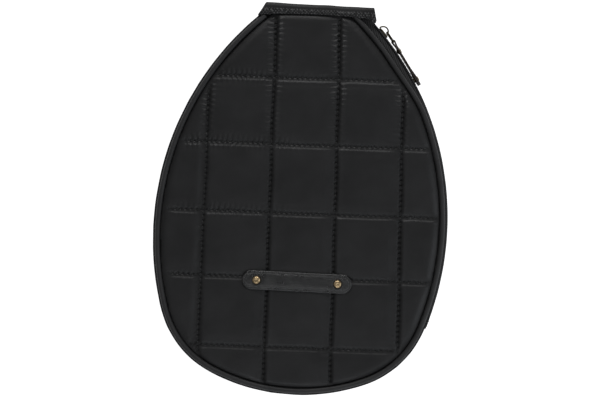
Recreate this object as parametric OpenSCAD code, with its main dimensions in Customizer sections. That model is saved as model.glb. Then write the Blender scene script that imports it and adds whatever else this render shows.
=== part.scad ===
// Padded, quilted case for a court paddle. It lies on its back with the mouth
// towards +Y and the front panel up, and opens by a zip along its right side.
// Lengths are in millimetres and angles in degrees.

/* [Outline] */
// Width over the side walls
case_w = 232; // [229:1:235]
// Radius of the two long side arcs
side_r = 231; // [229:1:233]
// Angle below the widest level at which a side arc ends
lower_turn = 18; // [17:0.5:19]
// Radius of the two lower corners
corner_r = 78; // [74:1:82]
// Radius of the bottom arc
bottom_r = 155; // [150:1:165]
// Height of the mouth edge above the widest level
mouth_top = 176; // [175:0.5:177]
// Width of the bound mouth
mouth_w = 91; // [89:0.5:92]

/* [Layers] */
// Thickness of the closed case from back to front shell
depth = 29; // [27:0.5:32]
// Thickness of the outer quilted shell
shell_t = 1; // [0.8:0.1:1.2]
// Thickness of the foam between the shell and the lining
foam_t = 3.2; // [2.6:0.1:3.6]
// Thickness of the panel lining
lining_t = 0.8; // [0.6:0.1:1]
// Thickness of the side wall fabric
wall_t = 2; // [1.6:0.1:2.1]
// Thickness of the side wall lining
wall_lining_t = 0.9; // [0.6:0.1:1]
// Radius of the piping bead
bead_r = 2; // [1.7:0.1:2]
// Distance of the piping centre line inside the outline
bead_in = 4.2; // [4.1:0.1:4.4]
// Distance of the panel edges inside the outline
panel_in = 6.6; // [6.5:0.1:7.5]
// Thickness of the mouth binding
binding_t = 0.9; // [0.7:0.1:1]
// Height of the mouth binding
binding_h = 10.8; // [10.2:0.2:11.2]

/* [Zip] */
// Angle above the widest level at which the zip ends at the mouth
zip_top = 45.5; // [45.1:0.1:45.6]
// Angle below the widest level at which the zip ends at the side
zip_low = 15; // [14.6:0.1:15.1]
// Rest angle of the slider
slider_at = 43.5; // [43:0.1:43.6]
// Length of the slider
slider_len = 9.6; // [9:0.2:9.8]
// Width of the slider
slider_w = 9; // [8:0.2:9.4]
// Width of the pull tab
tab_w = 10; // [8:0.2:10]
// Length of the pull tab from its link to its tip
tab_len = 40; // [30:1:42]

/* [Label] */
// Length of the label
label_len = 86; // [78:1:92]
// Width of the label
label_w = 14.6; // [13:0.2:17]
// Distance between the two rivets of the label
rivet_gap = 63.6; // [56:0.2:66]

/* [Hidden] */
$fn = 48;

// Points along a curve are about this far apart.
seg_len = 8;

// Outline: two side arcs, two corner arcs and a bottom arc, each tangent to the
// next. s is 1 on the right and -1 on the left.
function side_c(s) = [-s * (side_r - case_w / 2), 0];
function corner_c(s) =
    side_c(s) + (side_r - corner_r) * [s * cos(lower_turn), -sin(lower_turn)];
bottom_c = [0, corner_c(1).y + sqrt(pow(bottom_r - corner_r, 2) - pow(corner_c(1).x, 2))];
joint_a = atan2(bottom_c.y - corner_c(1).y, corner_c(1).x);

// An arc of radius r0 - d. The number of its points depends only on r0, so arcs
// with different d stay parallel.
function arc(c, r0, d, a0, a1) =
    let (n = max(1, ceil(r0 * abs(a1 - a0) * PI / 180 / seg_len)))
    [for (i = [0:n]) let (a = a0 + (a1 - a0) * i / n) c + (r0 - d) * [cos(a), sin(a)]];
function rest(points) = [for (i = [1:len(points) - 1]) points[i]];
function reversed(points) = [for (i = [len(points) - 1:-1:0]) points[i]];

// The outline moved d inwards, from left_top on the left side arc round the
// bottom to right_top on the right one.
function outline(d, left_top, right_top) = concat(
    arc(side_c(-1), side_r, d, 180 - left_top, 180 + lower_turn),
    rest(arc(corner_c(-1), corner_r, d, 180 + lower_turn, 180 + joint_a)),
    rest(arc(bottom_c, bottom_r, d, 180 + joint_a, 360 - joint_a)),
    rest(arc(corner_c(1), corner_r, d, 360 - joint_a, 360 - lower_turn)),
    rest(arc(side_c(1), side_r, d, 360 - lower_turn, 360 + right_top))
);

// Heights of the layers, from the back.
back_top = shell_t + foam_t + lining_t;
front_low = depth - back_top;
back_bead_z = bead_r + 0.4;
front_bead_z = depth - bead_r - 0.4;
wall_low = back_bead_z + bead_r + 0.1;
wall_high = front_bead_z - bead_r - 0.1;
zip_z = depth / 2;

// The origin of the part is under the middle of its outline.
y_low = bottom_c.y - bottom_r;
y_mid = (mouth_top + y_low) / 2;
binding_low = mouth_top - binding_h;
panel_top = mouth_top - binding_t - 0.1;
shell_top = binding_low - 0.2;

// The front flap folds about a line from the left end of the mouth to the lower
// end of the zip. fold_slit is the gap that the solids leave at the fold.
fold_slit = 0.6;
fold_a = [-mouth_w / 2 - 0.5, binding_low - 0.2];
fold_b = side_c(1)
    + (side_r - bead_in) * [cos(zip_low + 0.3), -sin(zip_low + 0.3)];
fold_dir = (fold_b - fold_a) / norm(fold_b - fold_a);
fold_n = [-fold_dir.y, fold_dir.x];
far = 400;

// Zip levels: the fabric strips, the tapes and the two rows of the coil.
strip_w = 4.8;
strip_t = 1.2;
tape_in = 1.3;
tape_t = 0.8;
coil_in = 0.4;
coil_t = 2.4;
coil_gap = 1.4;
coil_w = 2.3;
coil_edge = coil_gap / 2 + coil_w;
zip_play = 0.8;

// Slider and pull, in a frame at the slider: x away from the wall, y along the
// zip towards the mouth, z across the zip.
plate_t = 1.2;
plate_x = zip_play - coil_in;
bridge_x = plate_x + plate_t;
bridge_h = 3.8;
bridge_open = 2.9;
pivot = [bridge_x + 1.7, -1.6];
wire_r = 0.65;
link_len = 9;
link_end = pivot + [-0.7, -link_len];
link_half = 3.6;
tab_loop_r = 1.9;
tab_t = 2.6;
tab_tilt = 7.8;

// Label and rivets.
label_at = [1, -41.7];
label_turn = 1.7;
label_t = 1.5;
label_z = depth + 0.1;
rivet_r = 2.9;
post_r = 1.1;

fabric = [0.09, 0.09, 0.095];
dark = [0.05, 0.05, 0.055];
foam_grey = [0.32, 0.32, 0.33];
leather = [0.07, 0.065, 0.06];
brass = [0.62, 0.48, 0.27];

module place() { translate([0, -y_mid, 0]) children(); }

// A layer in the shape of a panel: the outline moved in, cut flat at height top.
module layer(z, t, top) {
    a = asin(top / (side_r - panel_in));
    translate([0, 0, z])
        linear_extrude(t)
            polygon(outline(panel_in, a, a));
}

// The half of space on one side of the fold: side is 1 for the flap.
module fold_half(side) {
    n = side * fold_n;
    p = fold_a - far * fold_dir + n * fold_slit / 2;
    q = fold_b + far * fold_dir + n * fold_slit / 2;
    translate([0, 0, -1])
        linear_extrude(depth + 10)
            polygon([p, q, q + n * far, p + n * far]);
}

module split_layer(side, z, t, top) {
    intersection() {
        layer(z, t, top);
        fold_half(side);
    }
}

// A wall on the right side arc between two distances in and two angles.
module zip_wall(d, t, z, h, low, high) {
    translate([0, 0, z])
        linear_extrude(h)
            polygon(concat(
                arc(side_c(1), side_r, d, low, high),
                reversed(arc(side_c(1), side_r, d + t, low, high))
            ));
}

// A wall along the whole sewn part of the outline.
module sewn_wall(d, t, z, h) {
    left = zip_top - 0.4;
    right = -zip_low - 0.7;
    translate([0, 0, z])
        linear_extrude(h)
            polygon(concat(outline(d, left, right), reversed(outline(d + t, left, right))));
}

// A round bead along a level path.
module bead(path, z, r, sides = 8) {
    last = len(path) - 1;
    points = [for (i = [0:last])
        let (
            tangent = path[min(i + 1, last)] - path[max(i - 1, 0)],
            n = [tangent.y, -tangent.x] / norm(tangent)
        )
        for (k = [0:sides - 1])
            let (b = 360 * k / sides)
            [path[i].x + r * cos(b) * n.x, path[i].y + r * cos(b) * n.y, z + r * sin(b)]];
    skin = [for (i = [0:last - 1], k = [0:sides - 1])
        let (m = (k + 1) % sides, a = i * sides, b = a + sides)
        each [[a + k, b + k, b + m], [a + k, b + m, a + m]]];
    ends = [
        [for (k = [0:sides - 1]) k],
        [for (k = [sides - 1:-1:0]) last * sides + k]
    ];
    polyhedron(points, concat(skin, ends));
}

// A folded band over the mouth edge of one panel: hollow from low to high.
module binding(z, h, hollow_low, hollow_high) {
    difference() {
        translate([-mouth_w / 2, binding_low, z])
            cube([mouth_w, binding_h, h]);
        translate([-mouth_w / 2 - 1, binding_low - 1, hollow_low])
            cube([mouth_w + 2, binding_h + 1 - binding_t, hollow_high - hollow_low]);
    }
}

// Moves a child from the slider's frame to the side wall, angle a above the
// widest level.
module on_wall(a) {
    translate([side_c(1).x, 0, zip_z])
        rotate([0, 0, a])
            translate([side_r, 0, 0])
                children();
}

module on_label() {
    translate([label_at.x, label_at.y, 0]) rotate([0, 0, label_turn]) children();
}

module at_label_rivets() {
    on_label() for (s = [-1, 1]) translate([s * rivet_gap / 2, 0, 0]) children();
}

// Back panel, from the outside in.
module back_shell() { color(fabric) layer(0, shell_t, shell_top); }
module back_foam() { color(foam_grey) layer(shell_t, foam_t, panel_top); }
module back_lining() { color(dark) layer(shell_t + foam_t, lining_t, panel_top); }
module back_piping() {
    color(fabric) bead(outline(bead_in, zip_top - 0.9, zip_top - 0.9), back_bead_z, bead_r);
}

// Side wall, from the left end of the mouth round the bottom to the zip.
module side_wall() { color(fabric) sewn_wall(0, wall_t, wall_low, wall_high - wall_low); }
module side_wall_lining() {
    color(dark) sewn_wall(wall_t + 0.1, wall_lining_t, back_top + 0.2, front_low - back_top - 0.4);
}

// Front panel: the part beyond the fold stays and the other part is the flap.
module front_shell(side) {
    color(fabric)
        difference() {
            split_layer(side, depth - shell_t, shell_t, shell_top);
            at_label_rivets() translate([0, 0, depth - 2]) cylinder(h = 4, r = post_r + 0.05);
        }
}
module front_foam(side) {
    color(foam_grey)
        difference() {
            split_layer(side, front_low + lining_t, foam_t, panel_top);
            at_label_rivets() translate([0, 0, depth - shell_t - 1]) cylinder(h = 3, r = rivet_r + 0.1);
        }
}
module front_lining(side) { color(dark) split_layer(side, front_low, lining_t, panel_top); }
module front_shell_fixed() { front_shell(-1); }
module front_foam_fixed() { front_foam(-1); }
module front_lining_fixed() { front_lining(-1); }
module front_shell_flap() { front_shell(1); }
module front_foam_flap() { front_foam(1); }
module front_lining_flap() { front_lining(1); }
module front_piping_fixed() {
    color(fabric) bead(outline(bead_in, zip_top - 0.9, -zip_low - 0.5), front_bead_z, bead_r);
}
module front_piping_flap() {
    color(fabric)
        bead(arc(side_c(1), side_r, bead_in, -zip_low, zip_top - 0.9), front_bead_z, bead_r);
}

// Mouth binding: one band on each panel and one over the end of the side wall.
module mouth_binding_front() {
    color(dark)
        binding(front_low - binding_t, back_top + binding_t + 0.3, front_low, depth - shell_t + 0.05);
}
module mouth_binding_back() {
    color(dark) binding(0, back_top + binding_t, shell_t - 0.05, back_top);
}
module mouth_binding_side() {
    low = back_top + binding_t + 0.3;
    color(dark)
        translate([-mouth_w / 2, binding_low, low])
            cube([2.2, binding_h, front_low - binding_t - 0.3 - low]);
}

// Zip, mirrored about its own middle: front is 1 for the flap's half.
module across(front) {
    translate([0, 0, zip_z]) mirror([0, 0, front > 0 ? 0 : 1]) children();
}
module zip_strip(front) {
    color(fabric)
        across(front)
            zip_wall(0, strip_t, wall_high - zip_z - strip_w, strip_w, -zip_low, zip_top);
}
module zip_tape(front) {
    color(dark)
        across(front)
            zip_wall(tape_in, tape_t, coil_edge, wall_high - zip_z - coil_edge, -zip_low, zip_top);
}
module zip_coil(front) {
    color(dark)
        across(front)
            zip_wall(coil_in, coil_t, coil_gap / 2, coil_w, -zip_low, zip_top - 0.7);
}
module zip_top_stop(front) {
    color(brass)
        across(front)
            zip_wall(coil_in, coil_t, coil_gap / 2, coil_w, zip_top - 0.6, zip_top - 0.1);
}
module zip_strip_front() { zip_strip(1); }
module zip_strip_back() { zip_strip(-1); }
module zip_tape_front() { zip_tape(1); }
module zip_tape_back() { zip_tape(-1); }
module zip_coil_front() { zip_coil(1); }
module zip_coil_back() { zip_coil(-1); }
module zip_top_stop_front() { zip_top_stop(1); }
module zip_top_stop_back() { zip_top_stop(-1); }
module zip_bottom_stop() {
    color(brass)
        zip_wall(coil_in, coil_t, zip_z - coil_edge, 2 * coil_edge, -zip_low - 0.6, -zip_low - 0.2);
}
module zip_end_tab() {
    color(dark)
        zip_wall(-0.6, 0.5, zip_z - tab_w / 2, tab_w, -zip_low - 2.9, -zip_low - 0.3);
}

// Slider: an outer and an inner plate joined by a narrow wedge at the mouth end,
// and a bridge that holds the pull.
module slider_plate(x) {
    w = slider_w / 2;
    l = slider_len / 2;
    translate([x, 0, 0])
        rotate([0, 90, 0])
            linear_extrude(plate_t)
                polygon([
                    [-w + 0.9, -l], [w - 0.9, -l], [w - 0.3, -l + 1.2], [w, 0.5],
                    [w - 0.2, l - 2], [w - 1.8, l - 0.3], [0.8, l], [-0.8, l],
                    [-w + 1.8, l - 0.3], [-w + 0.2, l - 2], [-w, 0.5], [-w + 0.3, -l + 1.2]
                ]);
}
module slider_body() {
    inner_x = -coil_in - coil_t - zip_play - plate_t;
    wedge_w = coil_gap - 0.4;
    color(brass)
        on_wall(slider_at) {
            slider_plate(plate_x);
            slider_plate(inner_x);
            translate([inner_x + plate_t / 2, slider_len / 2 - 3.4, -wedge_w / 2])
                cube([plate_x - inner_x, 2.8, wedge_w]);
        }
}
module slider_bridge() {
    l = 4.2;
    leg = 1.3;
    color(brass)
        on_wall(slider_at)
            translate([bridge_x, 0, -1.2])
                linear_extrude(2.4)
                    difference() {
                        polygon([
                            [0, -l], [bridge_h - 1.4, -l], [bridge_h - 0.4, -l + 0.9],
                            [bridge_h, -l + 2.2], [bridge_h, l - 2.6], [bridge_h - 0.5, l - 1.2],
                            [bridge_h - 1.8, l], [0, l]
                        ]);
                        polygon([
                            [0.3, -l + leg], [bridge_open - 0.6, -l + leg], [bridge_open, -l + leg + 0.8],
                            [bridge_open, l - leg - 1.3], [bridge_open - 0.9, l - leg], [0.3, l - leg]
                        ]);
                    }
}

// Pull: a wire link in the bridge and a leather tab folded over its lower bar.
module rod(from, to, r) {
    v = to - from;
    translate(from)
        rotate([0, acos(v.z / norm(v)), atan2(v.y, v.x)])
            cylinder(h = norm(v), r = r);
}
module pull_link() {
    top = [pivot.x, pivot.y, link_half];
    low = [link_end.x, link_end.y, link_half];
    flip = [1, 1, -1];
    at_ends = [top, low, [low.x, low.y, -low.z], [top.x, top.y, -top.z]];
    color(brass)
        on_wall(slider_at) {
            for (i = [0:3]) rod(at_ends[i], at_ends[(i + 1) % 4], wire_r);
            for (p = at_ends) translate(p) sphere(r = wire_r + 0.03);
        }
}
module on_tab() {
    on_wall(slider_at)
        translate([link_end.x, link_end.y, 0])
            rotate([0, 0, -tab_tilt])
                children();
}
rivet_places = [-8.5, -tab_len + 5.5];
module pull_tab() {
    color(leather)
        on_tab()
            difference() {
                intersection() {
                    union() {
                        translate([0, 0, -tab_w / 2]) cylinder(h = tab_w, r = tab_loop_r);
                        translate([0, 0, -tab_w / 2])
                            linear_extrude(tab_w)
                                polygon([
                                    [-tab_loop_r + 0.4, -0.5], [tab_loop_r - 0.4, -0.5],
                                    [tab_t / 2, -5], [tab_t / 2, -tab_len],
                                    [-tab_t / 2, -tab_len], [-tab_t / 2, -5]
                                ]);
                    }
                    translate([-4, 0, 0])
                        rotate([0, 90, 0])
                            linear_extrude(8)
                                polygon(tab_face());
                }
                translate([0, 0, -tab_w]) cylinder(h = 2 * tab_w, r = wire_r + 0.25);
                for (y = rivet_places)
                    translate([-4, y, 0]) rotate([0, 90, 0]) cylinder(h = 8, r = post_r);
            }
}
// The tab seen face on: narrower where it holds the link, round at the tip.
function tab_face() = let (w = tab_w / 2, neck = link_half - wire_r - 0.3) concat(
    [[-neck, tab_loop_r + 1], [-neck, -2], [-w, -6]],
    [for (a = [180:15:360]) [w * cos(a), -tab_len + w + w * sin(a)]],
    [[w, -6], [neck, -2], [neck, tab_loop_r + 1]]
);
module pull_tab_rivets() {
    color(brass)
        on_tab()
            for (y = rivet_places)
                translate([-tab_t / 2, y, 0])
                    rotate([0, 90, 0]) {
                        cylinder(h = tab_t + 0.1, r = post_r - 0.05);
                        translate([0, 0, tab_t + 0.05]) cylinder(h = 0.9, r1 = 2.3, r2 = 1.6);
                    }
}

// Label: a leather plate held to the front shell by two rivets.
module label_plate() {
    color(leather)
        on_label()
            difference() {
                translate([0, 0, label_z])
                    linear_extrude(label_t)
                        union() {
                            square([label_len - label_w, label_w], center = true);
                            for (s = [-1, 1])
                                translate([s * (label_len - label_w) / 2, 0]) circle(d = label_w - 0.02);
                        }
                for (s = [-1, 1])
                    translate([s * rivet_gap / 2, 0, label_z - 1]) cylinder(h = label_t + 2, r = post_r + 0.05);
            }
}
module label_rivet_caps() {
    color(brass)
        at_label_rivets()
            translate([0, 0, label_z + label_t + 0.02]) {
                cylinder(h = 0.7, r = rivet_r);
                translate([0, 0, 0.7]) cylinder(h = 0.8, r1 = rivet_r - 0.1, r2 = rivet_r - 1.1);
            }
}
module label_rivet_posts() {
    flange_z = depth - shell_t - 0.8;
    color(brass)
        at_label_rivets()
            translate([0, 0, flange_z]) {
                cylinder(h = 0.7, r = rivet_r);
                cylinder(h = label_z + label_t - flange_z, r = post_r);
            }
}

place() back_shell();
place() back_foam();
place() back_lining();
place() back_piping();
place() side_wall();
place() side_wall_lining();
place() front_shell_fixed();
place() front_foam_fixed();
place() front_lining_fixed();
place() front_piping_fixed();
place() front_shell_flap();
place() front_foam_flap();
place() front_lining_flap();
place() front_piping_flap();
place() mouth_binding_front();
place() mouth_binding_back();
place() mouth_binding_side();
place() zip_strip_front();
place() zip_strip_back();
place() zip_tape_front();
place() zip_tape_back();
place() zip_coil_front();
place() zip_coil_back();
place() zip_top_stop_front();
place() zip_top_stop_back();
place() zip_bottom_stop();
place() zip_end_tab();
place() slider_body();
place() slider_bridge();
place() pull_link();
place() pull_tab();
place() pull_tab_rivets();
place() label_plate();
place() label_rivet_caps();
place() label_rivet_posts();
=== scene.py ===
"""Looks of the padded paddle case: quilted nylon pads, piping, side wall, mouth binding, zip, pull and label.

Lengths in this script are millimetres in the case's own plane, with y = 0 at the widest level of the outline;
place() turns them into metres in the row frame.
"""
import math

import bmesh
import bpy
import numpy as np
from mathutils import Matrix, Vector
from mathutils.geometry import delaunay_2d_cdt


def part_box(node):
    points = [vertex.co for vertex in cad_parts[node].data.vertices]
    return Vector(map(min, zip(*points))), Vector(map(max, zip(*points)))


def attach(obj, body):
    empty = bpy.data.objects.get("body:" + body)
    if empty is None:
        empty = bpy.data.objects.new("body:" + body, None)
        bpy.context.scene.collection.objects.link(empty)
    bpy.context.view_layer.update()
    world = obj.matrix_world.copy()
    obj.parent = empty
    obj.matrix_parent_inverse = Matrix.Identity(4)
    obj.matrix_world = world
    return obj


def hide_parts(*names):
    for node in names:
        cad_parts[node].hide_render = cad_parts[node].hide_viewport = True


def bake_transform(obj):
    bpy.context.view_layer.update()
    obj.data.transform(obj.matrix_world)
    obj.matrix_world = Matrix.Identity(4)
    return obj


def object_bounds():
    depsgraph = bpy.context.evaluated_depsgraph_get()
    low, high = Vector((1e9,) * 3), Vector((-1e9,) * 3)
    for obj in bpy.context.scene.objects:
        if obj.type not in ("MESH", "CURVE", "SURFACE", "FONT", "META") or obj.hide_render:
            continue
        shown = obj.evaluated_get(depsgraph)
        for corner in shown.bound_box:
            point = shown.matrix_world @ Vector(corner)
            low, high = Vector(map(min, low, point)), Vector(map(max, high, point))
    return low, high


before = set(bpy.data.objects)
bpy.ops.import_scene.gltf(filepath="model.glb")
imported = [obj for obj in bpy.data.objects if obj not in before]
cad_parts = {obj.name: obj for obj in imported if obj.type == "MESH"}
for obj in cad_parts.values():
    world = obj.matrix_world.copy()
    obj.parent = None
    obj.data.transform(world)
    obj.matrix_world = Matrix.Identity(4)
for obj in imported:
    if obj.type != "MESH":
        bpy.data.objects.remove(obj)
CAD_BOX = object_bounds()

# ---- driving sizes

SIDE_R, CORNER_R, BOTTOM_R = 231.0, 78.0, 155.0
LOWER_TURN = math.radians(18)
ZIP_TOP, ZIP_LOW = math.radians(45.5), math.radians(15)
WALL_TOP_LEFT, WALL_TOP_RIGHT = math.radians(45.6), -math.radians(14.9)

CASE_W = -2 * round(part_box("side_wall")[0].x * 1000, 1)
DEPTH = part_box("front_shell_fixed")[1].z * 1000
FRONT_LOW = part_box("front_lining_fixed")[0].z * 1000
BACK_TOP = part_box("back_lining")[1].z * 1000
ZIP_Z = DEPTH / 2

SIDE_C = SIDE_R - CASE_W / 2
CORNER_C = np.array([-SIDE_C + (SIDE_R - CORNER_R) * math.cos(LOWER_TURN),
                     -(SIDE_R - CORNER_R) * math.sin(LOWER_TURN)])
BOTTOM_CY = CORNER_C[1] + math.sqrt((BOTTOM_R - CORNER_R) ** 2 - CORNER_C[0] ** 2)
JOINT_A = math.atan2(BOTTOM_CY - CORNER_C[1], CORNER_C[0])
WIDEST_Y = CAD_BOX[0].y * 1000 - (BOTTOM_CY - BOTTOM_R)
MOUTH_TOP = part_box("mouth_binding_front")[1].y * 1000 - WIDEST_Y
BINDING_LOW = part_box("mouth_binding_front")[0].y * 1000 - WIDEST_Y

# Piping: its centre line's distance in from the outline, its height from the nearer face, and its radius.
PIPING_IN, PIPING_Z, PIPING_R = 4.45, 2.4, 1.95

# The front pad is drawn in at the upper right: the zip's front strip leans inwards there by up to this much.
LEAN, LEAN_FROM, LEAN_OVER = 4.0, 98.0, 42.0
LEAN_TOP = math.radians(48.5)

# Walls: the step of their grids along the outline, and the heights of the zip's front strip.
WALL_STEP = 1.8
STRIP_LOW, STRIP_TOP = 19.6, 25.2

# Quilting: squares turned a little against the case, a seam crossing at QUILT_AT.
QUILT_TURN = math.radians(2.5)
QUILT_AT = np.array([-25.3, 11.1])
COLUMN_PITCH = 51.4
COLUMN_SEAMS = [k * COLUMN_PITCH for k in (-2, -1, 0, 1, 2, 3)]
ROW_SEAMS = [-158.0, -105.5, -50.8, 0.0, 53.9, 106.2, 168.0]
QUILT_P, QUILT_Q = (-95, 150), (-150, 172)
FAN = 0.00016
STITCH = 4.1

# Heights of the front pad's surface: at its edge, in a seam and on a pillow.
EDGE_IN = 6.4
EDGE_Z, SEAM_Z, PILLOW_H = 26.2, 27.2, 2.2

# The mouth's band: its left end, its length and the level of its foot there.
BAND_LEFT, BAND_LEN, BAND_LOW = -46.5, 93.3, 164.2

LABEL_AT = np.array([1.0, -41.7])
LABEL_TURN = math.radians(1.7)
LABEL_LEN, LABEL_W, RIVET_GAP = 86.0, 15.2, 63.6
LABEL_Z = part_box("label_plate")[0].z * 1000
LABEL_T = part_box("label_plate")[1].z * 1000 - LABEL_Z

# Slider and pull, in a frame on the zip: x away from the wall, y along the zip towards the mouth.
SLIDER_AT = math.radians(43.5)
SLIDER_LEN, SLIDER_W = 9.6, 9.0
LINK_END = np.array([2.6, -10.6])
TAB_TILT, TAB_LEN, TAB_W = math.radians(7.8), 40.0, 10.0
TAB_RIVETS = ((-8.5, 0.72), (-34.5, 1.2))

CASE, FLAP, SLIDER, TAB = "case", "flap", "slider", "pull_tab"

# ---- helpers


def place(points):
    """Points in millimetres on the case, as metres in the row frame."""
    points = np.asarray(points, float).reshape(-1, 3)
    return (points + np.array([0, WIDEST_Y, 0])) * 0.001


def stacked(*parts):
    """Points from their coordinates, each an array or one number."""
    return np.stack(np.broadcast_arrays(*parts), -1)


def circle(count):
    """Angles once round."""
    return np.linspace(0, 2 * np.pi, count, endpoint=False)


def waves(x, y, size, seed, octaves=7):
    """Smooth seeded noise of about -1 to 1, with features of about that size."""
    rng = np.random.default_rng(seed)
    total = np.zeros(np.broadcast(x, y).shape)
    for _ in range(octaves):
        a, f, phase = rng.uniform(0, 2 * np.pi), rng.uniform(0.6, 1.7), rng.uniform(0, 2 * np.pi)
        total += np.sin(2 * np.pi * f * (np.cos(a) * x + np.sin(a) * y) / size + phase)
    return total / octaves * 1.6


def smooth(t):
    t = np.clip(t, 0, 1)
    return t * t * (3 - 2 * t)


def mesh_object(name, verts, faces, materials, face_material=None, cloth=None, seam_shade=None):
    """A smooth-shaded mesh of points in millimetres. cloth holds each point's place on the flat fabric, and
    the last argument the painted shade at each point, which darkens the nylon.
    """
    mesh = bpy.data.meshes.new(name)
    mesh.from_pydata([tuple(v) for v in place(verts)], [], [tuple(int(i) for i in f) for f in faces])
    for m in materials:
        mesh.materials.append(m)
    if face_material is not None:
        mesh.polygons.foreach_set("material_index", np.asarray(face_material, np.int32))
    mesh.polygons.foreach_set("use_smooth", np.ones(len(mesh.polygons), bool))
    if cloth is not None:
        flat = np.zeros((len(mesh.vertices), 3), np.float32)
        flat[:, :2] = np.asarray(cloth) * 0.001
        mesh.attributes.new("cloth", "FLOAT_VECTOR", "POINT").data.foreach_set("vector", flat.ravel())
    # Painted shade, stored per point for the nylon's material.
    if seam_shade is not None:
        mesh.attributes.new("seam_shade", "FLOAT", "POINT").data.foreach_set("value", np.asarray(seam_shade, np.float32))
    mesh.update()
    obj = bpy.data.objects.new(name, mesh)
    bpy.context.scene.collection.objects.link(obj)
    return obj


def ring_faces(rows, columns, close_columns=False, flip=False):
    """Quads of a rows by columns grid of points."""
    i = np.arange(rows - 1)[:, None]
    j = np.arange(columns if close_columns else columns - 1)[None, :]
    k = (j + 1) % columns
    quads = stacked(i * columns + j, (i + 1) * columns + j, (i + 1) * columns + k, i * columns + k)
    quads = quads.reshape(-1, 4)
    return quads[:, ::-1] if flip else quads


def loft(sections, closed=True):
    """Faces over equal-length sections of points, with flat ends where each section is a closed loop."""
    rows, columns = len(sections), len(sections[0])
    verts = np.concatenate(sections)
    faces = [tuple(f) for f in ring_faces(rows, columns, closed)]
    if closed:
        faces.append(tuple(range(columns)))
        faces.append(tuple(reversed(range((rows - 1) * columns, rows * columns))))
    return verts, faces


def joined(parts):
    """Several (points, faces) as one."""
    verts, faces, n = [], [], 0
    for v, f in parts:
        verts.append(np.asarray(v, float))
        faces += [tuple(int(i) + n for i in face) for face in f]
        n += len(v)
    return np.concatenate(verts), faces


def strip_solid(outer, inner):
    """A sheet with thickness: outer and inner are rows by columns of points."""
    rows, columns = outer.shape[:2]
    verts = np.concatenate([outer.reshape(-1, 3), inner.reshape(-1, 3)])
    n = rows * columns
    sheet = ring_faces(rows, columns)
    faces = [tuple(f) for f in sheet] + [tuple(f[::-1] + n) for f in sheet]
    for j in (0, columns - 1):
        for i in range(rows - 1):
            a, b = i * columns + j, (i + 1) * columns + j
            quad = (a, b, b + n, a + n)
            faces.append(quad[::-1] if j == 0 else quad)
    for i in (0, rows - 1):
        for j in range(columns - 1):
            a, b = i * columns + j, i * columns + j + 1
            quad = (a, b, b + n, a + n)
            faces.append(quad if i == 0 else quad[::-1])
    return verts, faces


def unit(v):
    return v / np.linalg.norm(v, axis=-1, keepdims=True)


def threads(centres, along, up, length=2.9, radius=0.33, sides=6):
    """A row of stitches, each a short, round-ended capsule. along and up may each be one direction."""
    along, up = (np.broadcast_to(np.asarray(v, float), centres.shape) for v in (along, up))
    along = unit(along)
    across = unit(np.cross(along, up))
    up = np.cross(across, along)
    t = np.array([-0.5, -0.42, -0.2, 0.2, 0.42, 0.5]) * length
    r = np.array([0.35, 0.8, 1.0, 1.0, 0.8, 0.35]) * radius
    sink = -np.array([0.9, 0.35, 0.0, 0.0, 0.35, 0.9]) * radius
    b = circle(sides)
    ring = (centres[:, None, None] + t[None, :, None, None] * along[:, None, None]
            + sink[None, :, None, None] * up[:, None, None]
            + (r[:, None] * np.cos(b))[None, ..., None] * across[:, None, None]
            + (r[:, None] * np.sin(b))[None, ..., None] * up[:, None, None])
    one = ring_faces(len(t), sides, True)
    n = len(t) * sides
    quads = (one[None] + n * np.arange(len(centres))[:, None, None]).reshape(-1, 4)
    faces = [tuple(f) for f in quads]
    for k in range(len(centres)):
        faces.append(tuple(k * n + i for i in range(sides)))
        faces.append(tuple(k * n + n - 1 - i for i in range(sides)))
    return ring.reshape(-1, 3), faces


def lathe(profile, centre, x_axis, y_axis, z_axis, sides=40):
    """A turned piece: profile holds (radius, height) from its foot to its top."""
    b = circle(sides)
    x_axis, y_axis, z_axis = (np.asarray(v, float) for v in (x_axis, y_axis, z_axis))
    ring = np.cos(b)[:, None] * x_axis + np.sin(b)[:, None] * y_axis
    return loft([np.asarray(centre) + r * ring + h * z_axis for r, h in profile])


def swept(path, radius, sides=12):
    """A round wire along points."""
    path = np.asarray(path, float)
    tangent = unit(np.gradient(path, axis=0))
    side = unit(np.cross(tangent, [0.0, 0.0, 1.0]))
    up = np.cross(side, tangent)
    b = circle(sides)
    cos, sin = np.cos(b)[:, None], np.sin(b)[:, None]
    return loft([p + radius * (cos * s + sin * u) for p, s, u in zip(path, side, up)])


def cloth_strip(name, outer, inner, materials, cloth, index=None):
    """A sheet of cloth between two grids of points. cloth holds the outer grid's places on flat fabric."""
    cloth = cloth.reshape(-1, 2)
    return mesh_object(name, *strip_solid(outer, inner), materials, index, np.concatenate([cloth, cloth]))


def turned_out(obj):
    """Makes every face of a closed piece face outwards."""
    work = bmesh.new()
    work.from_mesh(obj.data)
    bmesh.ops.recalc_face_normals(work, faces=work.faces)
    work.to_mesh(obj.data)
    work.free()
    return obj


def rides(obj, body, slot, *nodes):
    turned_out(obj)
    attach(obj, body)
    if nodes:
        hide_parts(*nodes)
    return obj


def bends(obj, slot, *nodes):
    """Makes the piece face outwards, hides the CAD nodes it stands for and bakes its placement into its mesh.
    """
    turned_out(obj)
    if nodes:
        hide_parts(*nodes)
    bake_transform(obj)
    return obj


# ---- outline


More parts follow.
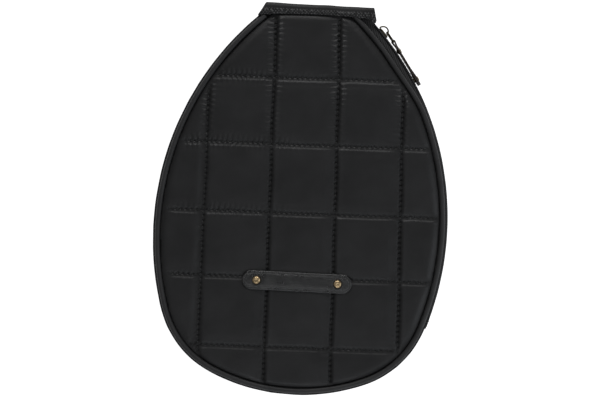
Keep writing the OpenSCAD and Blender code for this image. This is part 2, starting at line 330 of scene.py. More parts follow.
def outline(left_top, right_top, step):
    """Points of the case's outline, its outward normals and the length along it: from the left end of the
    mouth round the bottom to the right."""
    turn, pi = LOWER_TURN, math.pi
    arcs = [
        ((SIDE_C, 0), SIDE_R, pi - left_top, pi + turn),
        ((-CORNER_C[0], CORNER_C[1]), CORNER_R, pi + turn, pi + JOINT_A),
        ((0, BOTTOM_CY), BOTTOM_R, pi + JOINT_A, 2 * pi - JOINT_A),
        (tuple(CORNER_C), CORNER_R, 2 * pi - JOINT_A, 2 * pi - turn),
        ((-SIDE_C, 0), SIDE_R, 2 * pi - turn, 2 * pi + right_top),
    ]
    points, normals, lengths, length = [], [], [], 0.0
    for n, (centre, r, a0, a1) in enumerate(arcs):
        count = max(1, math.ceil(r * (a1 - a0) / step))
        a = np.linspace(a0, a1, count + 1)[0 if n == 0 else 1:]
        normal = stacked(np.cos(a), np.sin(a))
        points.append(np.array(centre) + r * normal)
        normals.append(normal)
        lengths.append(length + r * (a - a0))
        length += r * (a1 - a0)
    return np.concatenate(points), np.concatenate(normals), np.concatenate(lengths)


def zip_arc(low, high, step):
    """The same along the zip's own arc, from angle low to high."""
    a = np.linspace(low, high, max(2, math.ceil(SIDE_R * (high - low) / step)))
    normal = stacked(np.cos(a), np.sin(a))
    return np.array([-SIDE_C, 0]) + SIDE_R * normal, normal, SIDE_R * (a - low)


def lean(base):
    """How far the front pad's edge is drawn in at each point of the outline."""
    return LEAN * smooth((base[:, 1] - LEAN_FROM) / LEAN_OVER) * (base[:, 0] > 0)


def depth_inside(points, base, normals):
    """How far inside the outline each point lies, and the length index of the nearest outline point."""
    found = np.empty(len(points))
    nearest = np.empty(len(points), int)
    for i in range(0, len(points), 4000):
        part = points[i:i + 4000]
        d = ((part[:, None] - base[None]) ** 2).sum(-1)
        k = d.argmin(1)
        nearest[i:i + 4000] = k
        found[i:i + 4000] = ((base[k] - part) * normals[k]).sum(1)
    return found, nearest


# ---- materials


def nodes_of(name):
    material = bpy.data.materials.new(name)
    material.use_nodes = True
    tree = material.node_tree
    return material, tree, tree.nodes["Principled BSDF"]


def ramp(tree, source, stops):
    node = tree.nodes.new("ShaderNodeValToRGB")
    while len(node.color_ramp.elements) > len(stops):
        node.color_ramp.elements.remove(node.color_ramp.elements[-1])
    while len(node.color_ramp.elements) < len(stops):
        node.color_ramp.elements.new(1.0)
    for element, (at, colour) in zip(node.color_ramp.elements, stops):
        element.position, element.color = at, (*colour, 1)
    tree.links.new(source, node.inputs["Fac"])
    return node.outputs["Color"]


def maths(tree, operation, a, b=0.5):
    node = tree.nodes.new("ShaderNodeMath")
    node.operation = operation
    for socket, value in zip(node.inputs, (a, b)):
        if isinstance(value, (int, float)):
            socket.default_value = value
        else:
            tree.links.new(value, socket)
    return node.outputs[0]


def noise(tree, vector, scale, detail=3.0, rough=0.5):
    node = tree.nodes.new("ShaderNodeTexNoise")
    node.inputs["Scale"].default_value = scale
    node.inputs["Detail"].default_value = detail
    node.inputs["Roughness"].default_value = rough
    tree.links.new(vector, node.inputs["Vector"])
    return node.outputs["Fac"]


def wave(tree, vector, size, direction="X", turn=0.0):
    """Bands of that size in metres along one direction of the fabric."""
    mapping = tree.nodes.new("ShaderNodeMapping")
    mapping.inputs["Rotation"].default_value[2] = turn
    tree.links.new(vector, mapping.inputs["Vector"])
    node = tree.nodes.new("ShaderNodeTexWave")
    node.bands_direction = direction
    node.inputs["Scale"].default_value = 0.314 / size
    tree.links.new(mapping.outputs[0], node.inputs["Vector"])
    return node.outputs["Fac"]


def scaled(tree, source, factor, offset):
    return maths(tree, "ADD", maths(tree, "MULTIPLY", source, factor), offset)


def tinted(tree, source, colour, *stops):
    """Shares of one colour, each at its place on the source."""
    return ramp(tree, source, [(at, [c * share for c in colour]) for at, share in stops])


def on_object(tree):
    return tree.nodes.new("ShaderNodeTexCoord").outputs["Object"]


def fixed(shader, **values):
    """Values that are the same all over a surface. Spaces in a socket's name are written as _."""
    for name, value in values.items():
        shader.inputs[name.replace("_", " ")].default_value = value


def bump(tree, shader, height, distance, strength=1.0):
    node = tree.nodes.new("ShaderNodeBump")
    node.inputs["Distance"].default_value = distance
    node.inputs["Strength"].default_value = strength
    tree.links.new(height, node.inputs["Height"])
    tree.links.new(node.outputs[0], shader.inputs["Normal"])


def place_on_cloth(tree, use_cloth):
    if use_cloth:
        node = tree.nodes.new("ShaderNodeAttribute")
        node.attribute_name = "cloth"
        return node.outputs["Vector"]
    return on_object(tree)


def satin_nylon(name, colour, rough=0.42, on_cloth=True):
    """Close-woven nylon with a soft sheen and painted shade that darkens it in its seams."""
    material, tree, shader = nodes_of(name)
    at, around = place_on_cloth(tree, on_cloth), on_object(tree)
    base = tinted(tree, noise(tree, around, 38, 3), colour, (0.3, 0.8), (0.7, 1.22))
    # Painted shade: a per-point attribute mixes the colour down to 0.12 of itself in the seams, needle holes
    # and the groove by the piping.
    seam_shade = tree.nodes.new("ShaderNodeAttribute")
    seam_shade.attribute_name = "seam_shade"
    mix = tree.nodes.new("ShaderNodeMix")
    mix.data_type = "RGBA"
    tree.links.new(seam_shade.outputs["Fac"], mix.inputs["Factor"])
    tree.links.new(base, mix.inputs[6])
    mix.inputs[7].default_value = (*[c * 0.12 for c in colour], 1)
    tree.links.new(mix.outputs[2], shader.inputs["Base Color"])
    tree.links.new(scaled(tree, noise(tree, around, 90, 4), 0.16, rough - 0.08), shader.inputs["Roughness"])
    warp, weft = (wave(tree, at, 0.00045, direction) for direction in "XY")
    cloth = maths(tree, "ADD", maths(tree, "MULTIPLY", warp, weft), noise(tree, at, 700, 2))
    bump(tree, shader, cloth, 0.00004, 0.55)
    fixed(shader, Specular_IOR_Level=0.42, Sheen_Weight=0.12, Sheen_Roughness=0.4)
    return material


def ribbed_cloth(name, colour, rib, turn, rough=0.8, depth=0.00022):
    """A twill or ribbed cloth, its ribs at an angle to its length."""
    material, tree, shader = nodes_of(name)
    at = place_on_cloth(tree, True)
    ribs = wave(tree, at, rib, "X", turn)
    cross = wave(tree, at, rib * 0.8, "Y", turn)
    grain = noise(tree, at, 1300, 2)
    height = maths(tree, "ADD", maths(tree, "ADD", ribs, maths(tree, "MULTIPLY", cross, 0.45)),
                   maths(tree, "MULTIPLY", grain, 0.6))
    tone = tinted(tree, maths(tree, "MULTIPLY", height, 0.5), colour, (0.15, 0.35), (0.85, 1.5))
    tree.links.new(tone, shader.inputs["Base Color"])
    fixed(shader, Roughness=rough, Specular_IOR_Level=0.05)
    bump(tree, shader, height, depth, 0.9)
    return material


def mesh_binding(name, colour):
    """Coarse woven tape: a net of raised threads with bright and dark flecks."""
    material, tree, shader = nodes_of(name)
    at = place_on_cloth(tree, True)
    net = maths(tree, "MULTIPLY", wave(tree, at, 0.0017, "X", 0.7), wave(tree, at, 0.0017, "Y", 0.7))
    fleck = noise(tree, at, 520, 3, 0.7)
    height = maths(tree, "ADD", maths(tree, "MULTIPLY", net, 0.35), maths(tree, "MULTIPLY", fleck, 1.65))
    tone = tinted(tree, maths(tree, "MULTIPLY", height, 0.5), colour, (0.43, 0.2), (0.6, 6))
    tree.links.new(tone, shader.inputs["Base Color"])
    fixed(shader, Roughness=0.5, Specular_IOR_Level=0.45)
    bump(tree, shader, height, 0.0004, 1.0)
    return material


def brushed_lining(name, colour):
    """Soft napped cloth, patchy where it has been rubbed."""
    material, tree, shader = nodes_of(name)
    around = on_object(tree)
    fuzz = noise(tree, around, 1500, 4, 0.7)
    tone = maths(tree, "MULTIPLY", maths(tree, "ADD", fuzz, noise(tree, around, 60, 3)), 0.5)
    tree.links.new(tinted(tree, tone, colour, (0.3, 0.6), (0.7, 1.5)), shader.inputs["Base Color"])
    fixed(shader, Roughness=0.9, Sheen_Weight=0.5)
    bump(tree, shader, fuzz, 0.0003, 0.8)
    return material


def grained_leather(name, colour, rough, pore=0.0009, depth=0.00012, patch_highlight=1.9):
    """Finished leather: fine creases between its pores, random pale patches of painted highlight that stand
    in for its shine, under a thin gloss.
    """
    material, tree, shader = nodes_of(name)
    around = on_object(tree)
    cells = tree.nodes.new("ShaderNodeTexVoronoi")
    cells.feature = "DISTANCE_TO_EDGE"
    cells.inputs["Scale"].default_value = 1 / pore
    tree.links.new(around, cells.inputs["Vector"])
    crease = ramp(tree, cells.outputs["Distance"], [(0.0, (0, 0, 0)), (0.22, (1, 1, 1))])
    cloud = noise(tree, around, 150, 4)
    # Painted highlight: random pale patches lift the colour up to the last share, in place of the leather's
    # shine.
    tree.links.new(tinted(tree, cloud, colour, (0.35, 0.6), (0.75, patch_highlight)), shader.inputs["Base Color"])
    tree.links.new(scaled(tree, cloud, 0.25, rough - 0.12), shader.inputs["Roughness"])
    height = maths(tree, "ADD", crease, maths(tree, "MULTIPLY", noise(tree, around, 2200, 3), 0.4))
    bump(tree, shader, height, depth, 0.8)
    fixed(shader, Specular_IOR_Level=0.6, Coat_Weight=0.5, Coat_Roughness=0.25)
    return material


def antique_metal(name, colour, rough=0.28):
    """Plated metal, stained dark in patches."""
    material, tree, shader = nodes_of(name)
    around = on_object(tree)
    stain = noise(tree, around, 420, 5, 0.6)
    tree.links.new(tinted(tree, stain, colour, (0.32, 0.45), (0.6, 1)), shader.inputs["Base Color"])
    tree.links.new(scaled(tree, stain, 0.35, rough - 0.12), shader.inputs["Roughness"])
    fixed(shader, Metallic=1.0)
    bump(tree, shader, noise(tree, around, 900, 3), 0.00005, 0.5)
    return material


def nylon_coil(name, colour):
    """The drawn nylon of a coil zip's teeth."""
    material, tree, shader = nodes_of(name)
    tone = noise(tree, on_object(tree), 500, 3)
    tree.links.new(tinted(tree, tone, colour, (0.3, 0.6), (0.7, 1.3)), shader.inputs["Base Color"])
    tree.links.new(scaled(tree, tone, 0.2, 0.25), shader.inputs["Roughness"])
    bump(tree, shader, tone, 0.00005, 0.4)
    return material


NYLON = satin_nylon("quilted_satin_nylon", (0.0205, 0.0202, 0.0207), 0.46)
PIPING = satin_nylon("piping_satin_nylon", (0.034, 0.0335, 0.034), 0.5)
FOLD_CLOTH = satin_nylon("mouth_fold_nylon", (0.013, 0.013, 0.0132), 0.5)
THREAD = satin_nylon("sewing_thread", (0.012, 0.012, 0.0125), 0.5, False)
TAN_THREAD = satin_nylon("tan_thread", (0.05, 0.03, 0.018), 0.5, False)
TWILL = ribbed_cloth("side_twill", (0.034, 0.0338, 0.034), 0.0012, math.radians(50), depth=0.00013)
FOLD_TWILL = ribbed_cloth("zip_fold_twill", (0.052, 0.0515, 0.052), 0.0012, math.radians(50), depth=0.00012)
ZIP_CLOTH = ribbed_cloth("zip_herringbone", (0.029, 0.029, 0.03), 0.0008, math.radians(35), 0.7)
BINDING = mesh_binding("mouth_mesh_tape", (0.021, 0.0208, 0.021))
LINING = brushed_lining("brushed_lining", (0.03, 0.03, 0.033))
# The leathers carry pale patches of painted highlight, set by their last argument.
LABEL_LEATHER = grained_leather("label_leather", (0.019, 0.0187, 0.0185), 0.3, patch_highlight=1.7)
TAB_LEATHER = grained_leather("tab_leather", (0.035, 0.022, 0.014), 0.4)
BRASS = antique_metal("antique_brass", (0.95, 0.7, 0.4))
AGED_BRASS = antique_metal("aged_brass", (0.42, 0.33, 0.19), 0.3)
DARK_BRASS = antique_metal("blackened_brass", (0.16, 0.14, 0.095), 0.34)
COIL = nylon_coil("zip_nylon", (0.033, 0.033, 0.035))

# ---- camera, floor and light

LENS, SENSOR = 100.0, 36.0
FIELD_W = 471.1
ROLL = math.radians(4.67)


def make_camera():
    camera = bpy.data.objects.new("camera", bpy.data.cameras.new("camera"))
    bpy.context.scene.collection.objects.link(camera)
    camera.data.lens, camera.data.sensor_width = LENS, SENSOR
    height = FIELD_W * LENS / SENSOR + DEPTH - 4
    x, y = -1.8, 22.5
    camera.location = place([[x, y, height]])[0]
    camera.rotation_euler = (0, 0, ROLL)
    camera.data.clip_end = 20
    bpy.context.scene.camera = camera


def area_light(name, location, aim, size, power, colour=(1, 1, 1)):
    light = bpy.data.objects.new(name, bpy.data.lights.new(name, "AREA"))
    bpy.context.scene.collection.objects.link(light)
    light.data.shape = "RECTANGLE"
    light.data.size, light.data.size_y = size
    light.data.energy, light.data.color = power, colour
    light.location = location
    light.rotation_euler = (Vector(aim) - Vector(location)).to_track_quat("-Z", "Y").to_euler()


def make_stage():
    bpy.ops.mesh.primitive_plane_add(size=12, location=(0, 0, CAD_BOX[0].z - 0.0003))
    floor = bpy.context.object
    floor.name = "floor"
    material, tree, shader = nodes_of("pale_floor")
    fixed(shader, Base_Color=(0.8, 0.8, 0.8, 1), Roughness=0.9, Specular_IOR_Level=0.0)
    fixed(shader, Emission_Color=(1, 1, 1, 1))
    seen = tree.nodes.new("ShaderNodeLightPath").outputs["Is Camera Ray"]
    tree.links.new(scaled(tree, seen, 0.68, 0.25), shader.inputs["Emission Strength"])
    floor.data.materials.append(material)
    world = bpy.data.worlds.new("studio")
    bpy.context.scene.world = world
    world.use_nodes = True
    tree = world.node_tree
    sky = tree.nodes["Background"]
    fixed(sky, Color=(0.95, 0.97, 1, 1))
    seen = tree.nodes.new("ShaderNodeLightPath").outputs["Is Camera Ray"]
    tree.links.new(scaled(tree, seen, 0.95, 0.13), sky.inputs["Strength"])
    scene = bpy.context.scene
    scene.view_settings.view_transform = "Standard"
    scene.view_settings.look = "None"
    area_light("key", (-0.1, 1.3, 0.75), (0, 0, 0), (1.3, 0.35), 8)
    area_light("left_fill", (-1.2, 0.2, 0.7), (0, 0, 0), (0.9, 0.9), 0.45)
    area_light("right_fill", (1.2, -0.2, 0.7), (0, 0, 0), (0.9, 0.9), 3.4, (0.9, 0.95, 1))
    area_light("front_fill", (0.1, -1.3, 0.8), (0, -0.1, 0), (1.2, 0.5), 3.2, (0.93, 0.96, 1))
    area_light("top_strip", (0.0, -0.5, 1.4), (0, -0.05, 0), (1.2, 0.16), 0.95)


# ---- quilting


def from_quilt(p, q):
    """Places on the quilting's own grid, as x and y on the case. The columns fan out a little downwards, and
    the seams wander as hand-fed sewing does."""
    p2 = p * (1 - FAN * q) + 0.35 * waves(q, p * 0.3, 60, 11)
    q2 = q + 0.35 * waves(p, q * 0.3, 70, 12)
    c, s = math.cos(QUILT_TURN), math.sin(QUILT_TURN)
    return stacked(QUILT_AT[0] + c * p2 - s * q2, QUILT_AT[1] + s * p2 + c * q2)


def quilt_points():
    """Places on the quilt: close together beside each seam, sparse on the pillows."""
    offsets = np.array([0, 0.4, 0.85, 1.35, 1.9, 2.5, 3.2, 4.1, 5.3])
    offsets = np.concatenate([-offsets[:0:-1], offsets])
    fine_p, fine_q = (np.arange(*span, STITCH / 6) for span in (QUILT_P, QUILT_Q))
    sets = [np.stack(np.meshgrid(k + offsets, fine_q), -1).reshape(-1, 2) for k in COLUMN_SEAMS[1:-1]]
    for k in ROW_SEAMS[1:-1]:
        rows = np.stack(np.meshgrid(fine_p, k + offsets), -1).reshape(-1, 2)
        sets.append(rows[np.abs(nearest_seam(rows[:, 0], COLUMN_SEAMS)[0]) > 5.6])
    sparse = np.stack(np.meshgrid(*(np.arange(*span, 1.6) for span in (QUILT_P, QUILT_Q))), -1).reshape(-1, 2)
    far = np.abs(nearest_seam(sparse[:, 0], COLUMN_SEAMS)[0]) > 5.9
    far &= np.abs(nearest_seam(sparse[:, 1], ROW_SEAMS)[0]) > 5.9
    sets.append(sparse[far])
    both = np.concatenate(sets)
    return both[:, 0], both[:, 1]


def nearest_seam(value, seams):
    """Signed distance to the nearest seam, the seam's index and the place between seams from 0 to 1."""
    seams = np.array(seams)
    k = np.abs(value[:, None] - seams[None]).argmin(1)
    low = np.clip(np.searchsorted(seams, value, "right") - 1, 0, len(seams) - 2)
    share = (value - seams[low]) / (seams[low + 1] - seams[low])
    return value - seams[k], k, np.clip(share, 0, 1)


def rise(d, width, power):
    """0 in a seam and 1 on the pillow beside it: steepest at about width."""
    return 1 - np.exp(-(np.abs(d) / width) ** power)


def column_rise(d, k):
    """A column seam falls gently from its left and rises in a small step on its right. The first column has
    a flat ironed strip on its left."""
    first = k == 1
    width = np.where(d > 0, np.where(first, 3.0, 2.3), np.where(first, 4.7, 5.2))
    power = np.where(d > 0, 2.4, np.where(first, 3.4, 1.5))
    return rise(d, width, power)


def row_rise(d):
    """A row seam rises slowly on its upper side. On its lower side there is a small ironed step."""
    step = 0.38 * rise(d, 2.9, 9) + 0.62 * rise(d, 7.5, 1.6)
    return np.where(d < 0, step, rise(d, 3.6, 1.5))


def gather(along, across, seam_index, strength, reach, seed):
    """Small folds square to a seam, one to a stitch and uneven along the seam."""
    uneven = np.clip(1 + 0.7 * waves(along, seam_index * 97.0, 38, seed), 0.15, 2)
    phase = 2 * np.pi * along / STITCH + np.where(across > 0, 0.9, 0.0)
    phase = phase + 1.1 * waves(along, across * 2 + seam_index * 53, 17, seed + 2)
    near = np.exp(-np.abs(across) / reach) * (1 - np.exp(-np.abs(across) / 0.8))
    return strength * uneven * near * np.cos(phase)


def needle_holes(along, across, seed):
    """1 in a needle hole and 0 away from it. The holes lie a little off the seam's line."""
    stray = 0.28 * waves(along, along * 0.37, 9, seed)
    pulse = (0.5 + 0.5 * np.cos(2 * np.pi * along / STITCH)) ** 1.1
    return np.exp(-((across + stray) / 1.25) ** 2) * pulse


def pillow_height(p, q, x, y, seed):
    """Height of the quilted fabric over its seams, and the painted shade at each point, darkest in the needle
    holes and along the seams.
    """
    dp, kp, u = nearest_seam(p, COLUMN_SEAMS)
    dq, kq, v = nearest_seam(q, ROW_SEAMS)
    foam = column_rise(dp, kp) * row_rise(dq)
    dome = np.sqrt(np.clip(np.sin(np.pi * u) * np.sin(np.pi * v), 0, 1))
    lumps = 0.16 * waves(p, q, 34, seed + 5) + 0.07 * waves(p, q, 15, seed + 6)
    height = PILLOW_H * foam + 0.45 * dome + lumps * foam
    high = smooth((y - 40) / 80)
    left = smooth((10 - x) / 40)
    column_fold = 0.12 + 0.62 * high
    row_fold = 0.08 + 0.5 * left * smooth((y + 25) / 60)
    height += gather(q, dp, kp, column_fold, 2.6 + 2.6 * high, seed + 20) * row_rise(dq * 1.4)
    height += gather(p, dq, kq, row_fold, 2.4 + 1.6 * left, seed + 40) * column_rise(dp * 1.4, kp)
    height += 0.2 * np.exp(-((dp - 3.3) / 0.9) ** 2) * row_rise(dq)
    column_holes, row_holes = needle_holes(q, dp, seed + 60), needle_holes(p, dq - 0.35, seed + 61)
    height -= np.maximum(0.95 * column_holes, 0.6 * row_holes)
    # Painted shade along the seam lines, added to the needle holes, where the grooves and pits would lie in
    # shade.
    groove_shade = np.maximum(0.55 * np.exp(-(dp / 1.7) ** 2), 0.6 * np.exp(-((dq - 0.2) / 1.2) ** 2))
    return height, np.clip(1.25 * np.maximum(column_holes, row_holes) + groove_shade, 0, 1)


def label_distance(x, y):
    """Distance outside the label's outline, 0 under it."""
    c, s = math.cos(LABEL_TURN), math.sin(LABEL_TURN)
    dx, dy = x - LABEL_AT[0], y - LABEL_AT[1]
    u, v = c * dx + s * dy, -s * dx + c * dy
    u = np.clip(np.abs(u) - (LABEL_LEN - LABEL_W) / 2, 0, None)
    return np.clip(np.hypot(u, v) - LABEL_W / 2, 0, None)


def band_low(x):
    """Lower edge of the front mouth band, which bows up in the middle and dips at its right end."""
    u = np.clip((x - BAND_LEFT) / BAND_LEN, 0, 1)
    return BAND_LOW + 3.0 * u + 2.6 * (4 * u * (1 - u)) ** 0.6 - 1.8 * smooth((u - 0.9) / 0.1)


def panel_edge(step, front):
    """The closed edge of a panel: round the outline, then straight across the mouth."""
    top = MOUTH_TOP - 1.4
    left, right = (math.asin(top / (SIDE_R - EDGE_IN - inwards)) for inwards in (0, LEAN if front else 0))
    base, normals, lengths = outline(left, right, step)
    if front:
        base = base - lean(base)[:, None] * normals
    edge = base - EDGE_IN * normals
    across = np.linspace(edge[-1], edge[0], 60)[1:-1]
    return np.concatenate([edge, across]), base, normals, lengths


def triangulate(edge, inner):
    """Triangles over the closed edge and the inner points. The edge's points come first."""
    points = [Vector(p) for p in np.concatenate([edge, inner])]
    n = len(edge)
    verts, _, faces, *_ = delaunay_2d_cdt(points, [(i, (i + 1) % n) for i in range(n)], [], 1, 1e-5)
    return np.array([tuple(v) for v in verts]), faces


# The simulated sheet: its grid's step, how much larger than life it is, its frames and its furthest rise.
SIM_STEP = STITCH / 2
SIM_SCALE = 10.0
SIM_FRAMES = 20
SIM_CAP = 0.7


def sewn_cloth(seed):
    """Cloth simulation of the slack shell fabric, held at every stitch and pushed up by the foam.
    Returns the grid's p and q lines and how far each of its points rose."""
    wide = COLUMN_SEAMS[-1] - COLUMN_SEAMS[0]
    p_lines = COLUMN_SEAMS[0] + SIM_STEP * np.arange(int(wide / SIM_STEP) + 1)
    q_lines = np.arange(*QUILT_Q, SIM_STEP)
    p, q = (a.ravel() for a in np.meshgrid(p_lines, q_lines))
    xy = from_quilt(p, q)
    dp, kp, _ = nearest_seam(p, COLUMN_SEAMS)
    dq, _, _ = nearest_seam(q, ROW_SEAMS)
    start = PILLOW_H * column_rise(dp, kp) * row_rise(dq) + 0.05 * waves(p, q, 11, seed)
    mesh = bpy.data.meshes.new("slack")
    faces = ring_faces(len(q_lines), len(p_lines))
    points = np.column_stack([xy, start]) * 0.001 * SIM_SCALE
    mesh.from_pydata([tuple(v) for v in points], [], [tuple(int(i) for i in f) for f in faces])
    cloth = bpy.data.objects.new("slack", mesh)
    bpy.context.scene.collection.objects.link(cloth)
    on_column = np.abs(dp) < SIM_STEP * 0.5
    on_row = np.abs(dq) < SIM_STEP * 0.5
    column, row = np.meshgrid(np.arange(len(p_lines)), np.arange(len(q_lines)))
    stitch = (on_column & (row.ravel() % 2 == 0)) | (on_row & (column.ravel() % 2 == 0))
    held = cloth.vertex_groups.new(name="held")
    held.add([int(i) for i in np.flatnonzero(stitch)], 1.0, "REPLACE")
    held.add([int(i) for i in np.flatnonzero(~stitch)], 0.04, "REPLACE")
    mod = cloth.modifiers.new("cloth", "CLOTH")
    fabric = {"quality": 4, "mass": 0.2, "tension_stiffness": 12, "compression_stiffness": 12,
              "shear_stiffness": 4, "bending_stiffness": 0.08, "shrink_min": -0.035,
              "vertex_group_mass": "held", "pin_stiffness": 1.0, "use_pressure": True,
              "uniform_pressure_force": 0.6}
    for setting, value in fabric.items():
        setattr(mod.settings, setting, value)
    mod.settings.effector_weights.gravity = 0
    mod.collision_settings.use_collision = False
    for number in range(1, SIM_FRAMES + 1):
        bpy.context.scene.frame_set(number)
    graph = bpy.context.evaluated_depsgraph_get()
    after = np.empty(len(mesh.vertices) * 3, np.float32)
    cloth.evaluated_get(graph).data.vertices.foreach_get("co", after)
    risen = after.reshape(-1, 3)[:, 2] / (0.001 * SIM_SCALE) - start
    bpy.context.scene.frame_set(1)
    bpy.data.objects.remove(cloth, do_unlink=True)
    return p_lines, q_lines, np.clip(risen, -SIM_CAP, SIM_CAP).reshape(len(q_lines), len(p_lines))


def sampled(grid, p, q):
    """Values of a grid of p and q lines between its points."""
    p_lines, q_lines, values = grid
    a = np.clip((p - p_lines[0]) / SIM_STEP, 0, len(p_lines) - 1.001)
    b = np.clip((q - q_lines[0]) / SIM_STEP, 0, len(q_lines) - 1.001)
    i, j = b.astype(int), a.astype(int)
    f, g = b - i, a - j
    return ((1 - f) * (1 - g) * values[i, j] + (1 - f) * g * values[i, j + 1]
            + f * (1 - g) * values[i + 1, j] + f * g * values[i + 1, j + 1])


def quilted_surface(verts, flat, base, normals, lengths, seed, slack):
    """Height over the panel's plane and painted shade at each point of the shell."""
    x, y = verts[:, 0], verts[:, 1]
    d, k = depth_inside(verts, base, normals)
    e = np.clip(d - EDGE_IN, 0, None)
    mouth_e = np.clip(band_low(x) + 0.4 - y, 0, None)
    height, seam_shade = pillow_height(flat[:, 0], flat[:, 1], x, y, seed)
    if slack is not None:
        off_column = nearest_seam(flat[:, 0], COLUMN_SEAMS)[0]
        off_row = nearest_seam(flat[:, 1], ROW_SEAMS)[0]
        clear = np.minimum(np.abs(off_column), np.abs(off_row))
        height += sampled(slack, flat[:, 0], flat[:, 1]) * np.clip((clear - 1) / 4, 0.2, 1)
    side = smooth((-x - 80) / 30)
    rim = rise(e, 3.8 + 4.4 * side - 1.3 * smooth((-y - 70) / 40), 2.0)
    height -= 2.9 * smooth((-x - 60) / 50)
    lip = rise(mouth_e, 2.4, 1.5)
    s = lengths[np.minimum(k, len(lengths) - 1)]
    crimp = 0.22 * np.exp(-e / 3.5) * rim * np.cos(2 * np.pi * s / STITCH + waves(s, e * 2, 30, seed + 70))
    z = EDGE_Z + (SEAM_Z - EDGE_Z) * rim + height * rim * lip + crimp * lip
    # Painted shade fades out at the pad's edge and the mouth; a painted shadow lies along the edge by the
    # piping, wider on the left.
    seam_shade = np.maximum(seam_shade * rim * np.minimum(lip * 1.5, 1), np.exp(-(e / (1.5 + 2.6 * side)) ** 2))
    return z, seam_shade


def quilted_pad(name, front, seed, slack):
    """A closed pad: quilted shell outside, smooth lining inside."""
    edge, base, normals, lengths = panel_edge(1.3, front)
    p, q = quilt_points()
    xy = from_quilt(p, q)
    inside = (np.abs(xy[:, 0]) < CASE_W / 2) & (xy[:, 1] < MOUTH_TOP - 2.2) & (xy[:, 1] > -BOTTOM_R)
    p, q, xy = p[inside], q[inside], xy[inside]
    mirror = np.array([1 if front else -1, 1])
    keep = depth_inside(xy * mirror, base, normals)[0] > EDGE_IN + 0.6
    p, q, xy = p[keep], q[keep], xy[keep] * mirror
    verts, faces = triangulate(edge, xy)
    n = len(edge)
    flat = np.zeros((len(verts), 2))
    flat[n:n + len(p)] = stacked(p, q)
    thinned = slice(None, None, 5)
    near = depth_inside(edge, xy[thinned], np.zeros_like(xy[thinned]))[1]
    flat[:n] = stacked(p, q)[thinned][near]
    z, seam_shade = quilted_surface(verts, flat, base, normals, lengths, seed, slack)
    if front:
        under = label_distance(verts[:, 0], verts[:, 1])
        z = np.minimum(z, LABEL_Z - 0.15 + 1.2 * (1 - np.exp(-under / 2.5)))
    low = FRONT_LOW if front else BACK_TOP
    if not front:
        z = np.clip(DEPTH - z, 0.0, None)
    top = np.column_stack([verts, z])
    gx, gy = np.meshgrid(np.arange(-112, 113, 4.0), np.arange(-130, MOUTH_TOP, 4.0))
    grid = stacked(gx.ravel(), gy.ravel())
    grid = grid[grid[:, 1] < MOUTH_TOP - 3.5]
    grid = grid[depth_inside(grid, base, normals)[0] > EDGE_IN + 2]
    low_verts, low_faces = triangulate(edge, grid)
    sag = 0.25 * waves(low_verts[:, 0], low_verts[:, 1], 55, seed + 90)
    sag[:n] = 0
    bottom = np.column_stack([low_verts, low + (sag if front else -sag)])
    m = len(top)
    rim_faces = [(i, (i + 1) % n, m + (i + 1) % n, m + i) for i in range(n)]
    shell = [tuple(f) for f in faces]
    lining = [tuple(m + i for i in f) for f in low_faces]
    if front:
        lining = [f[::-1] for f in lining]
        rim_faces = [f[::-1] for f in rim_faces]
    else:
        shell = [f[::-1] for f in shell]
    index = [0] * (len(shell) + len(rim_faces)) + [1] * len(lining)
    cloth = np.concatenate([flat, low_verts])
    seam_shade = np.concatenate([seam_shade, np.zeros(len(low_verts))])
    return mesh_object(name, np.concatenate([top, bottom]), shell + rim_faces + lining, [NYLON, LINING],
                       index, cloth, seam_shade)


def quilt_threads(front, seed, slack):
    """Points, directions and heights of the stitches in every seam."""
    base, normals, lengths = panel_edge(1.3, front)[1:]
    centres, ahead = [], []
    down, over = (STITCH * (np.arange(first, last) + 0.5) for first, last in ((-36, 42), (-23, 36)))
    for k in COLUMN_SEAMS[1:-1]:
        centres.append(stacked(k, down))
        ahead.append(np.tile([0.0, 1.0], (len(down), 1)))
    for k in ROW_SEAMS[1:-1]:
        centres.append(stacked(over, k))
        ahead.append(np.tile([1.0, 0.0], (len(over), 1)))
    flat, ahead = np.concatenate(centres), np.concatenate(ahead)
    xy, tip = from_quilt(*flat.T), from_quilt(*(flat + 0.5 * ahead).T)
    mirror = np.array([1 if front else -1, 1])
    xy, tip = xy * mirror, tip * mirror
    keep = (depth_inside(xy, base, normals)[0] > EDGE_IN + 2.5) & (xy[:, 1] < band_low(xy[:, 0]) - 2.5)
    keep &= (label_distance(*xy.T) > 0.5) | (not front)
    xy, tip, flat = xy[keep], tip[keep], flat[keep]
    z = quilted_surface(xy, flat, base, normals, lengths, seed, slack)[0] + 0.02
    if not front:
        z = np.clip(DEPTH - z, 0.4, None)
    along = np.column_stack([tip - xy, np.zeros(len(xy))])
    return threads(np.column_stack([xy, z]), along, (0, 0, 1 if front else -1), 2.7, 0.3)


def make_pads():
    slack = sewn_cloth(7)
    pad = quilted_pad("front_quilted_pad", True, 3, slack)
    bends(pad, "shell_fabric", "front_shell_fixed", "front_foam_fixed", "front_lining_fixed",
          "front_shell_flap", "front_foam_flap", "front_lining_flap")
    bends(mesh_object("front_quilt_thread", *quilt_threads(True, 3, slack), [THREAD]), "shell_fabric")
    pad = quilted_pad("back_quilted_pad", False, 203, slack)
    rides(pad, CASE, "shell_fabric", "back_shell", "back_foam", "back_lining")
    stitches = mesh_object("back_quilt_thread", *quilt_threads(False, 203, slack), [THREAD])
    rides(stitches, CASE, "shell_fabric")


# ---- piping


